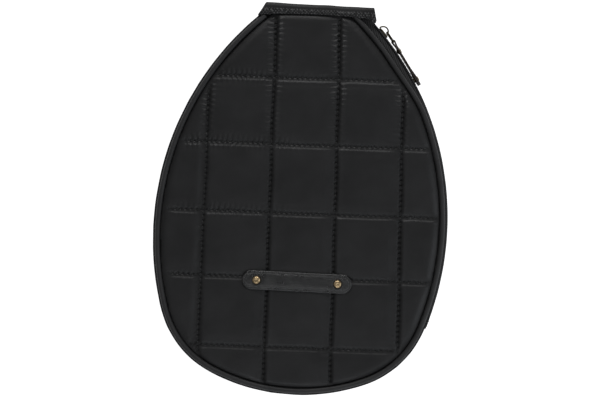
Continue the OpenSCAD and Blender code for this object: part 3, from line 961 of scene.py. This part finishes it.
def tube(path, normals, z, radius, sides, seed, lengths):
    """A fabric tube along a level path, faintly crimped at each stitch on its inner side."""
    b = circle(sides)
    s = lengths[:, None]
    crimp = 0.05 * np.cos(2 * np.pi * s / STITCH) * (np.cos(b)[None] < 0)
    lumps = 0.06 * waves(s, b[None] * 3, 26, seed)
    r = radius * (1 + (crimp + lumps) * 0.5)
    x = path[:, 0, None] + r * np.cos(b) * normals[:, 0, None]
    y = path[:, 1, None] + r * np.cos(b) * normals[:, 1, None]
    rings = stacked(x, y, z + r * np.sin(b))
    verts, faces = loft(list(rings))
    cloth = stacked(s, b * radius).reshape(-1, 2)
    # Painted shade on the tube's inner side, in the groove where it meets the pad.
    seam_shade = np.tile(np.exp(-((np.abs(b - np.pi * 0.93)) / 0.42) ** 2), len(path))
    return verts, [f[::-1] for f in faces], cloth, seam_shade


def make_piping():
    top = ZIP_TOP + math.radians(1.1)
    for name, z in (("front_piping_tube", DEPTH - PIPING_Z), ("back_piping_tube", PIPING_Z)):
        base, normals, lengths = outline(top, top + math.radians(3.6) if z > ZIP_Z else top, 1.4)
        inwards = lean(base)[:, None] if z > ZIP_Z else 0
        path = base - (PIPING_IN + inwards) * normals
        verts, faces, cloth, seam_shade = tube(path, normals, z, PIPING_R, 14, 31, lengths)
        obj = mesh_object(name, verts, faces, [PIPING], cloth=cloth, seam_shade=seam_shade)
        if z > ZIP_Z:
            bends(obj, "piping_fabric", "front_piping_fixed", "front_piping_flap")
        else:
            rides(obj, CASE, "piping_fabric", "back_piping")


# ---- side wall


def along_outline(base, normals, profile, seed, slack=0.2, leaning=0.0):
    """Rows of points: a (distance in, height) profile carried along the outline. leaning is how far its top
    edge is drawn in at each point."""
    profile = np.array(profile, float)
    s = np.arange(len(base))[:, None] * WALL_STEP
    sag = slack * waves(s, profile[None, :, 1], 42, seed) * (profile[None, :, 0] < 2.5)
    share = np.clip((profile[None, :, 1] - STRIP_LOW) / (STRIP_TOP - STRIP_LOW), 0, 1) ** 2
    d = profile[None, :, 0] + np.abs(sag) + np.reshape(leaning, (-1, 1)) * share
    x, y = (base[:, i, None] - d * normals[:, i, None] for i in (0, 1))
    return stacked(x, y, profile[None, :, 1])


def wall_piece(name, base, normals, lengths, outer, inner, materials, seed=51, slack=0.2, leaning=0.0):
    """A wall of cloth with its lining side: outer and inner are profiles of as many points."""
    across = np.concatenate([[0], np.cumsum(np.hypot(*np.diff(np.array(outer), axis=0).T))])
    rows, columns = len(base), len(outer)
    count = (rows - 1) * (columns - 1)
    index = [0] * count + [len(materials) - 1] * count + [0] * 2 * (rows + columns - 2)
    return cloth_strip(name, along_outline(base, normals, outer, seed, slack, leaning),
                       along_outline(base, normals, inner, seed + 1, 0, leaning),
                       materials, stacked(lengths[:, None], across), index)


def wall_profile(z_low, z_high, d_edge, power, count=13):
    """Tucked under the piping at each edge and bulging between."""
    t = np.linspace(0, 1, count)
    return [(d_edge * (1 - math.sin(math.pi * a) ** power), z_low + (z_high - z_low) * a) for a in t]


def row_of_threads(base, normals, d, z, pitch, lengths, length=2.3, radius=0.24):
    """Stitches along the outline at one distance in and one height."""
    at = np.arange(pitch, lengths[-1] - pitch, pitch)
    x, y = (np.interp(at, lengths, (base - d * normals)[:, i]) for i in (0, 1))
    nx, ny = (np.interp(at, lengths, normals[:, i]) for i in (0, 1))
    return threads(stacked(x, y, z), stacked(-ny, nx, 0), stacked(nx, ny, 0), length, radius)


def make_side_wall():
    base, normals, lengths = outline(WALL_TOP_LEFT, WALL_TOP_RIGHT, WALL_STEP)
    outer = wall_profile(3.9, DEPTH - 3.9, 3.3, 0.42)
    inner = [(d + 2.4, z) for d, z in wall_profile(BACK_TOP + 0.1, FRONT_LOW - 0.1, 1.2, 0.42)]
    wall = wall_piece("side_wall_band", base, normals, lengths, outer, inner, [TWILL, LINING])
    rides(wall, CASE, "wall_fabric", "side_wall", "side_wall_lining")
    rows = [row_of_threads(base, normals, 1.25, z, 3.4, lengths) for z in (6.6, DEPTH - 6.6)]
    rides(mesh_object("side_wall_thread", *joined(rows), [THREAD]), CASE, "wall_fabric")


# ---- zip


def mirrored(profile, front):
    return profile if front else [(d, DEPTH - z) for d, z in profile]


def coil(front, pitch=1.35):
    """One row of a nylon coil zip: loops of round thread wound along the tape's edge."""
    low, high = -ZIP_LOW + math.radians(0.2), ZIP_TOP - math.radians(0.75)
    turns = int(SIDE_R * (high - low) / pitch)
    t = np.linspace(0, turns, turns * 12)
    a = low + (high - low) * t / turns
    loop = 2 * np.pi * t + (0 if front else np.pi)
    d = 1.6 + 0.72 * np.sin(loop)
    z = ZIP_Z + (1 if front else -1) * (1.55 + 1.0 * np.cos(loop))
    r = SIDE_R - d
    path = stacked(-SIDE_C + r * np.cos(a), r * np.sin(a), z)
    return swept(path, 0.42, 6)


def goes(front, obj, slot, *nodes):
    """The front half of the zip and of the mouth goes through bends(), which bakes it in place. The back half
    is attached to the case.
    """
    return bends(obj, slot, *nodes) if front else rides(obj, CASE, slot, *nodes)


def make_zip():
    low = -ZIP_LOW - math.radians(0.25)
    base, normals, lengths = zip_arc(low, ZIP_TOP, WALL_STEP)
    strip = ([(3.1, STRIP_TOP), (1.6, 24.8), (0.55, 24.0), (0.15, 22.8), (0.02, 21.5), (0.1, 20.3),
              (0.45, STRIP_LOW)],
             [(3.7, 24.3), (2.3, 23.9), (1.45, 23.3), (1.2, 22.5), (1.2, 21.5), (1.2, 20.5), (1.0, 19.9)])
    tape = [[(d, z) for z in (24.4, 22.0, 19.6, 18.4, 17.3)] for d in (1.3, 2.1)]
    for front, word in ((True, "front"), (False, "back")):
        outer, inner = (mirrored(side, front) for side in strip)
        arc = zip_arc(low, LEAN_TOP if front else ZIP_TOP, WALL_STEP)
        leaning = lean(arc[0]) if front else 0.0
        piece = wall_piece(f"zip_fold_{word}", *arc, outer, inner, [FOLD_TWILL], 61, 0.12, leaning)
        goes(front, piece, "wall_fabric", f"zip_strip_{word}")
        outer, inner = (mirrored(side, front) for side in tape)
        piece = wall_piece(f"zip_cloth_{word}", base, normals, lengths, outer, inner, [ZIP_CLOTH], 62, 0)
        goes(front, piece, "zip_fabric", f"zip_tape_{word}")
        level = 20.7 if front else DEPTH - 20.7
        row = row_of_threads(base, normals, 0.32, level, 3.2, lengths, 2.3, 0.2)
        goes(front, mesh_object(f"zip_thread_{word}", *row, [THREAD]), "wall_fabric")
        goes(front, mesh_object(f"zip_teeth_{word}", *coil(front), [COIL]), "zip_plastic", f"zip_coil_{word}")
    make_end_tab()


def make_end_tab():
    """The patch that covers the lower end of the zip."""
    a = -np.radians(np.linspace(15.25, 17.9, 9))
    w = np.array([4.2, 4.75, 4.95, 5.0, 5.0, 5.0, 4.95, 4.75, 4.2])
    v = np.linspace(-1, 1, 9)
    z = ZIP_Z + w[:, None] * v[None]
    out = 0.2 + 0.24 * (1 - v[None] ** 6) * (1 - np.linspace(-1, 1, 9)[:, None] ** 6)
    outer, inner = (stacked(-SIDE_C + (SIDE_R + o) * np.cos(a)[:, None], (SIDE_R + o) * np.sin(a)[:, None], z)
                    for o in (out, 0.05))
    patch = cloth_strip("zip_end_patch", outer, inner, [ZIP_CLOTH], stacked(SIDE_R * a[:, None], z))
    rides(patch, CASE, "zip_fabric", "zip_end_tab")
    base, normals, lengths = zip_arc(-math.radians(17.7), -math.radians(15.4), 0.9)
    rows = [row_of_threads(base, normals, -0.4, ZIP_Z + h, 1.9, lengths, 1.4, 0.16) for h in (-4, 4)]
    rides(mesh_object("zip_end_thread", *joined(rows), [THREAD]), CASE, "zip_fabric")


# ---- mouth binding

TAPE_T = 0.85


def mouth_band(name, front, z_out, z_in):
    """A folded tape over the mouth edge of one panel: wider at its foot, a little slack along its length."""
    count = 90
    u = np.linspace(0, 1, count)[:, None]
    x_mid = BAND_LEFT + BAND_LEN * u
    top = 175.2 + 2.2 * u + 0.25 * waves(u * 90, 0 * u, 33, 81)
    low = band_low(x_mid) if front else BINDING_LOW + 0.6 * waves(u * 90, 0 * u, 40, 82)
    bend = np.linspace(0, np.pi, 9)
    z_in = z_in + (z_out - z_in) * 0.25 * smooth((u - 0.78) / 0.22)
    middle, half = (z_out + z_in) / 2, abs(z_out - z_in) / 2
    sign = 1 if front else -1
    outer_path = [(0.0, -0.25), (0.06, 0.0), (0.2, 0.2), (0.4, 0.28), (0.6, 0.25), (0.78, 0.1)]
    rows = []
    for shrink in (0.0, TAPE_T):
        row = []
        for t, puff in outer_path:
            row.append((low + (top - half - low) * t, z_out + 0 * u + sign * (puff - shrink)))
        for b in bend:
            r = half - shrink
            row.append((top - half + r * np.sin(b), middle + sign * r * np.cos(b) + 0 * u))
        for t, puff in reversed(outer_path):
            row.append((low + 1 + (top - half - low - 1) * t, z_in - sign * (puff * 0.4 - shrink)))
        y = np.concatenate([a for a, _ in row], 1)
        z = np.concatenate([b for _, b in row], 1)
        left = -46.6 + np.clip(y - 164.3, 0, None) * 0.58
        right = 46.9 - np.clip(y - 166, -1, None) * 0.26 - 1.0 * smooth((167.4 - y) / 1.8)
        rows.append(stacked(left + (right - left) * u, y, z))
    path = np.concatenate([[0], np.cumsum(np.hypot(*np.diff(rows[0][count // 2, :, 1:], axis=0).T))])
    cloth = [stacked(rows[0][..., 0], path).reshape(-1, 2)] * 2
    columns = rows[0].shape[1]
    strip = np.tile(np.arange(columns - 1), count - 1)
    fold = np.where((strip > 4) & (strip < columns - 5), 1, 0)
    verts, faces = strip_solid(*rows)
    index = list(fold) + list(fold) + [0] * (len(faces) - 2 * len(fold))
    parts = [(verts, faces)]
    for ends in (slice(0, 3), slice(count - 3, count)):
        plug, plug_faces = loft(list(rows[1][ends]))
        parts.append((plug, plug_faces))
        index += [0] * len(plug_faces)
        cloth.append(plug[:, :2])
    return mesh_object(name, *joined(parts), [BINDING, FOLD_CLOTH], index, np.concatenate(cloth))


def band_threads(front, z):
    x = np.arange(-43, 45, 3.3)
    low = band_low(x) if front else BINDING_LOW + 0 * x
    y = low + 1.5
    up = (0, 0, 1 if front else -1)
    return threads(stacked(x, y, z), stacked(1.0, np.gradient(y, x), 0), up, 2.3, 0.26)


def side_band():
    """The bound left end of the side wall, in the mouth."""
    y = np.linspace(164.0, 175.0, 10)
    z = np.linspace(2.6, DEPTH - 2.6, 16)
    shape = np.sin(np.linspace(0.12, np.pi - 0.12, 16)) ** 0.4
    left = (-47.2 + (y - 164.0) * 0.5)[:, None]
    faces = []
    for d in (0.0, 2.3):
        x = left + (1 - shape[None]) * 1.6 + d + 0.15 * waves(y[:, None], z[None], 20, 83)
        faces.append(stacked(x, y[:, None], z[None]))
    return cloth_strip("mouth_side_tape", *faces, [BINDING], faces[0][..., 1:])


def make_mouth():
    halves = ((True, "front", DEPTH + 0.1, FRONT_LOW - 0.9), (False, "back", 0.3, BACK_TOP + 0.9))
    for front, word, z_out, z_in in halves:
        tape = mouth_band(f"mouth_tape_{word}", front, z_out, z_in)
        goes(front, tape, "binding_fabric", f"mouth_binding_{word}")
    rides(side_band(), CASE, "binding_fabric", "mouth_binding_side")
    for front, word, z in ((True, "front", DEPTH + 0.35), (False, "back", 0.25)):
        goes(front, mesh_object(f"mouth_thread_{word}", *band_threads(front, z), [THREAD]), "binding_fabric")


# ---- slider and pull


def on_slider(points):
    """Points in the slider's frame, on the case."""
    x, y, z = np.reshape(points, (-1, 3)).T
    c, s = math.cos(SLIDER_AT), math.sin(SLIDER_AT)
    return stacked(-SIDE_C + (SIDE_R + x) * c - y * s, (SIDE_R + x) * s + y * c, ZIP_Z + z)


def on_tab(points):
    """Points in the pull tab's frame, on the case."""
    x, y, z = np.reshape(points, (-1, 3)).T
    c, s = math.cos(TAB_TILT), math.sin(TAB_TILT)
    return on_slider(stacked(LINK_END[0] + c * x + s * y, LINK_END[1] - s * x + c * y, z))


def slider_shell():
    """The cast slider: a crowned plate with turned-down flanges, an inner plate and a wedge between them."""
    b = circle(48)
    y = SLIDER_LEN / 2 * np.sign(np.sin(b)) * np.abs(np.sin(b)) ** 0.75
    wide = 1 - 0.16 * (0.5 - y / SLIDER_LEN) ** 2 - 0.22 * np.clip(y / SLIDER_LEN * 2 - 0.5, 0, 1)
    z = SLIDER_W / 2 * wide * np.sign(np.cos(b)) * np.abs(np.cos(b)) ** 0.6

    def plate(levels):
        return loft([stacked(x, y * k, z * k) for k, x in levels])

    outer = plate([(0.9, 0.42), (0.98, 0.45), (1.0, 0.7), (1.0, 1.1), (0.97, 1.4), (0.9, 1.58), (0.7, 1.72),
                   (0.3, 1.8)])
    inner = plate([(0.94, -4.75), (1.0, -4.6), (1.0, -3.95), (0.95, -3.75)])
    parts = [outer, inner]
    for side in (-1, 1):
        rows = [np.array([[x, yy, side * (SLIDER_W / 2 - 0.35 + 0.3 * t)] for x, t in
                          ((0.6, 0.6), (0.6, 0.0), (-0.7, 0.0), (-1.0, 0.3), (-0.7, 0.6))])
                for yy in np.linspace(-SLIDER_LEN / 2 + 1.2, SLIDER_LEN / 2 - 3.2, 8)]
        parts.append(loft(rows))
    wedge = [np.array([[x, yy, w * k] for x, w in ((-4.2, 0.5), (0.8, 0.5), (0.8, -0.5), (-4.2, -0.5))])
             for yy, k in ((1.4, 0.5), (1.8, 1.0), (3.9, 1.0), (4.2, 0.6))]
    parts.append(loft(wedge))
    verts, faces = joined(parts)
    return on_slider(verts), faces


def slider_bow():
    """The bow over the slider that holds the pull."""
    t = np.linspace(0, np.pi, 28)
    x = 1.2 + 4.3 * np.sin(t) ** 0.8
    y = 0.9 - 4.1 * np.cos(t) * (1 - 0.12 * np.sin(t))
    verts, faces = swept(stacked(x, y, 0), 0.6, 12)
    verts[:, 2] *= 1.7
    return on_slider(verts), faces


def tab_half(y):
    """Half the thickness of the doubled strap: fuller at its tip and beside the link."""
    return np.interp(y, [-31, -25, -8, -4], [1.3, 0.8, 0.8, 1.1])


def tab_strap():
    """The leather strap of the pull, folded over the link's lower bar."""
    straight = np.concatenate([np.linspace(-TAB_LEN, -34, 12), np.linspace(-32, -4, 16)])
    turn = np.linspace(-0.35, np.pi + 0.35, 15)
    thick = tab_half(straight)
    outer = list(zip(thick, straight)) + [(1.75 * math.cos(a), 1.75 * math.sin(a)) for a in turn]
    outer += list(zip(-thick[::-1], straight[::-1]))
    inner = [(0.07, y) for y in straight] + [(0.7 * math.cos(a), 0.7 * math.sin(a)) for a in turn]
    inner += [(-0.07, y) for y in straight[::-1]]
    v = np.linspace(-1, 1, 13)
    sheets = []
    for path, inset in ((outer, 1.0), (inner, 0.9)):
        path = np.array(path)
        y = path[:, 1]
        half = np.interp(y, [-6, -2.5], [TAB_W / 2, 2.65])
        past = np.clip(-TAB_LEN + TAB_W / 2 - y, 0, None)
        tip = np.sqrt(np.clip((TAB_W / 2) ** 2 - past ** 2, 0.5, None))
        half = np.minimum(half, tip)
        soft = 1 - 0.35 * np.abs(v[:, None]) ** 8 * (inset == 1.0)
        sheets.append(stacked(path[None, :, 0] * soft, y, v[:, None] * half))
    verts, faces = strip_solid(*sheets)
    return on_tab(verts), faces


def tab_threads():
    """Stitches along both edges of the strap, on both faces."""
    y = np.arange(-31.5, -11, 2.6)
    parts = []
    for side in (-1, 1):
        for face in (-1, 1):
            centre = stacked(face * (tab_half(y) - 0.1), y, side * 3.9)
            verts, faces = threads(centre, (0, 1, 0), (face, 0, 0), 1.9, 0.14)
            parts.append((on_tab(verts), faces))
    return joined(parts)


def tab_rivets():
    """Domed caps on both sides of the tab."""
    cap = [(1.9, 0.0), (2.25, 0.12), (2.3, 0.3), (2.0, 0.68), (1.3, 0.95), (0.5, 1.05), (0.02, 1.06)]
    parts = []
    for y, level in TAB_RIVETS:
        for face in (-1, 1):
            verts, faces = lathe(cap, (face * level, y, 0), (0, 1, 0), (0, 0, 1), (face, 0, 0), 28)
            parts.append((on_tab(verts), faces))
    return joined(parts)


def make_pull():
    rides(mesh_object("slider_shell", *slider_shell(), [DARK_BRASS]), SLIDER, "metal", "slider_body")
    rides(mesh_object("slider_bow", *slider_bow(), [DARK_BRASS]), SLIDER, "metal", "slider_bridge")
    rides(mesh_object("pull_strap", *tab_strap(), [TAB_LEATHER]), TAB, "tab_leather", "pull_tab")
    rides(mesh_object("pull_thread", *tab_threads(), [TAN_THREAD]), TAB, "tab_leather")
    rides(mesh_object("pull_rivets", *tab_rivets(), [AGED_BRASS]), TAB, "metal", "pull_tab_rivets")


# ---- label


def on_label(points):
    """Points in the label's frame, on the case."""
    u, v, z = np.reshape(points, (-1, 3)).T
    c, s = math.cos(LABEL_TURN), math.sin(LABEL_TURN)
    return stacked(LABEL_AT[0] + c * u - s * v, LABEL_AT[1] + s * u + c * v, z)


def pill(inset, step=0.8):
    """Outline of the label, moved in."""
    r, half = LABEL_W / 2 - inset, (LABEL_LEN - LABEL_W) / 2
    n = max(8, int(np.pi * r / step))
    a = np.linspace(-np.pi / 2, np.pi / 2, n)
    right = stacked(half + r * np.cos(a), r * np.sin(a))
    top = stacked(np.linspace(half, -half, 90)[1:-1], r)
    left = stacked(-half - r * np.cos(a), -r * np.sin(a))
    return np.concatenate([right, top, left, -top])


def label_plate():
    """A leather plate with a rounded edge, a tooled border and a hollow under each rivet."""
    rings = [pill(k) for k in (0.2, 0.45, 0.8, 1.3, 1.6, 1.9, 2.2, 2.5, 2.9, 3.5)]
    gx, gy = np.meshgrid(np.arange(-40, 40.1, 0.8), np.arange(-3.6, 3.7, 0.8))
    inner = [stacked(gx.ravel(), gy.ravel())]
    b = circle(36)
    around = [stacked(side * RIVET_GAP / 2 + r * np.cos(b), r * np.sin(b))
              for side in (-1, 1) for r in (2.8, 3.2, 3.6, 4.0, 4.5)]
    edge = pill(0.0)
    verts, faces = triangulate(edge, np.concatenate(rings + inner + around))
    half = (LABEL_LEN - LABEL_W) / 2
    d = LABEL_W / 2 - np.hypot(np.clip(np.abs(verts[:, 0]) - half, 0, None), verts[:, 1])
    r = np.hypot(np.abs(verts[:, 0]) - RIVET_GAP / 2, verts[:, 1])
    edge_drop = 0.55 * (1 - np.sqrt(np.clip(1 - (1 - np.clip(d / 0.9, 0, 1)) ** 2, 0, 1)))
    crown = 0.85 * np.abs(verts[:, 1] / (LABEL_W / 2)) ** 2.4 + 0.6 * smooth((np.abs(verts[:, 0]) - 30) / 14)
    tooled_line = 0.24 * np.exp(-((d - 1.9) / 0.33) ** 2) * (r > 4.4)
    rivet_hollow = 0.6 * smooth((4.2 - r) / 0.9)
    z = LABEL_Z + LABEL_T - edge_drop - tooled_line
    z = z - crown * smooth((r - 3.2) / 2) - rivet_hollow
    top = np.column_stack([verts, z])
    low = np.column_stack([edge * 0.997, np.full(len(edge), LABEL_Z + 0.02)])
    m, n = len(top), len(edge)
    side = [(m + i, m + (i + 1) % n, (i + 1) % n, i) for i in range(n)]
    foot = [tuple(m + i for i in reversed(range(n)))]
    return on_label(np.concatenate([top, low])), [tuple(f) for f in faces] + side + foot


def rivet_caps():
    """Two turned caps with a dimple in the middle."""
    profile = [(2.7, 0.0), (3.0, 0.12), (3.02, 0.35), (2.75, 0.8), (2.1, 1.2), (1.5, 1.36), (1.05, 1.32),
               (0.75, 1.12), (0.4, 1.02), (0.02, 1.0)]
    parts = []
    for side in (-1, 1):
        foot = (side * RIVET_GAP / 2, 0, LABEL_Z + LABEL_T - 0.36)
        verts, faces = lathe(profile, foot, (1, 0, 0), (0, 1, 0), (0, 0, 1))
        parts.append((on_label(verts), faces))
    return joined(parts)


def make_label():
    plate = mesh_object("label_leather_plate", *label_plate(), [LABEL_LEATHER])
    rides(plate, CASE, "label_leather", "label_plate")
    rides(mesh_object("label_rivets", *rivet_caps(), [BRASS]), CASE, "metal", "label_rivet_caps")


# ---- the rest


def keep_cad(nodes, material):
    """CAD nodes whose shape is right keep it, with a material."""
    for node in nodes:
        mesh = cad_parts[node].data
        mesh.materials.clear()
        mesh.materials.append(material)


make_camera()
make_stage()
make_pads()
make_piping()
make_side_wall()
make_zip()
make_mouth()
make_pull()
make_label()
keep_cad(["zip_top_stop_front", "zip_top_stop_back", "zip_bottom_stop", "pull_link"], DARK_BRASS)
keep_cad(["label_rivet_posts"], BRASS)
